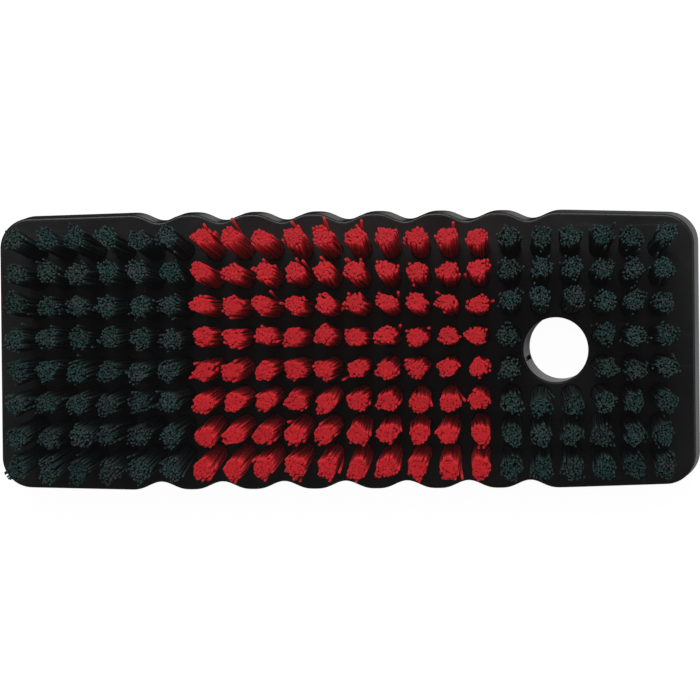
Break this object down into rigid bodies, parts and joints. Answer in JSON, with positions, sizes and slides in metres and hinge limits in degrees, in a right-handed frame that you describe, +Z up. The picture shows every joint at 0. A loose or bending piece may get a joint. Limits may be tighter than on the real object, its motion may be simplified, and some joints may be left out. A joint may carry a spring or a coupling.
{
  "type": "nail brush",
  "caption": "Rectangular hand and nail brush: black plastic block with finger scallops and a hanging hole, carrying red and dark green bristle tufts.",
  "frame": {"origin": "centre of the block's back face, which the brush lies on", "axes": "+X along the block towards the end with the hanging hole, +Y across the block, +Z up from the back to the bristle tips"},
  "size_m": [0.115, 0.0454, 0.03],
  "materials": {
    "black_plastic": "satin moulded plastic, near black",
    "red_bristles": "synthetic filament, red, cut tips",
    "dark_green_bristles": "synthetic filament, very dark green, cut tips",
    "anchor_steel": "galvanised flat wire"
  },
  "bodies": {
    "root": {"brush_block": "black_plastic", "tuft_column_01": "dark_green_bristles", "tuft_column_02": "dark_green_bristles", "tuft_column_03": "dark_green_bristles", "tuft_column_04": "dark_green_bristles", "tuft_column_05": "dark_green_bristles", "tuft_column_06": "dark_green_bristles", "tuft_column_07": "red_bristles", "tuft_column_08": "red_bristles", "tuft_column_09": "red_bristles", "tuft_column_10": "red_bristles", "tuft_column_11": "red_bristles", "tuft_column_12": "red_bristles", "tuft_column_13": "red_bristles", "tuft_column_14": "red_bristles", "tuft_column_15": "red_bristles", "tuft_column_16": "red_bristles", "tuft_column_17": "dark_green_bristles", "tuft_column_18_upper": "dark_green_bristles", "tuft_column_18_lower": "dark_green_bristles", "tuft_column_19_upper": "dark_green_bristles", "tuft_column_19_lower": "dark_green_bristles", "tuft_column_20": "dark_green_bristles", "tuft_column_21": "dark_green_bristles", "tuft_column_22": "dark_green_bristles", "anchor_wire_01": "anchor_steel", "anchor_wire_02": "anchor_steel", "anchor_wire_03": "anchor_steel", "anchor_wire_04": "anchor_steel", "anchor_wire_05": "anchor_steel", "anchor_wire_06": "anchor_steel", "anchor_wire_07": "anchor_steel", "anchor_wire_08": "anchor_steel", "anchor_wire_09": "anchor_steel", "anchor_wire_10": "anchor_steel", "anchor_wire_11": "anchor_steel", "anchor_wire_12": "anchor_steel", "anchor_wire_13": "anchor_steel", "anchor_wire_14": "anchor_steel", "anchor_wire_15": "anchor_steel", "anchor_wire_16": "anchor_steel", "anchor_wire_17": "anchor_steel", "anchor_wire_18_upper": "anchor_steel", "anchor_wire_18_lower": "anchor_steel", "anchor_wire_19_upper": "anchor_steel", "anchor_wire_19_lower": "anchor_steel", "anchor_wire_20": "anchor_steel", "anchor_wire_21": "anchor_steel", "anchor_wire_22": "anchor_steel"}
  },
  "joints": []
}
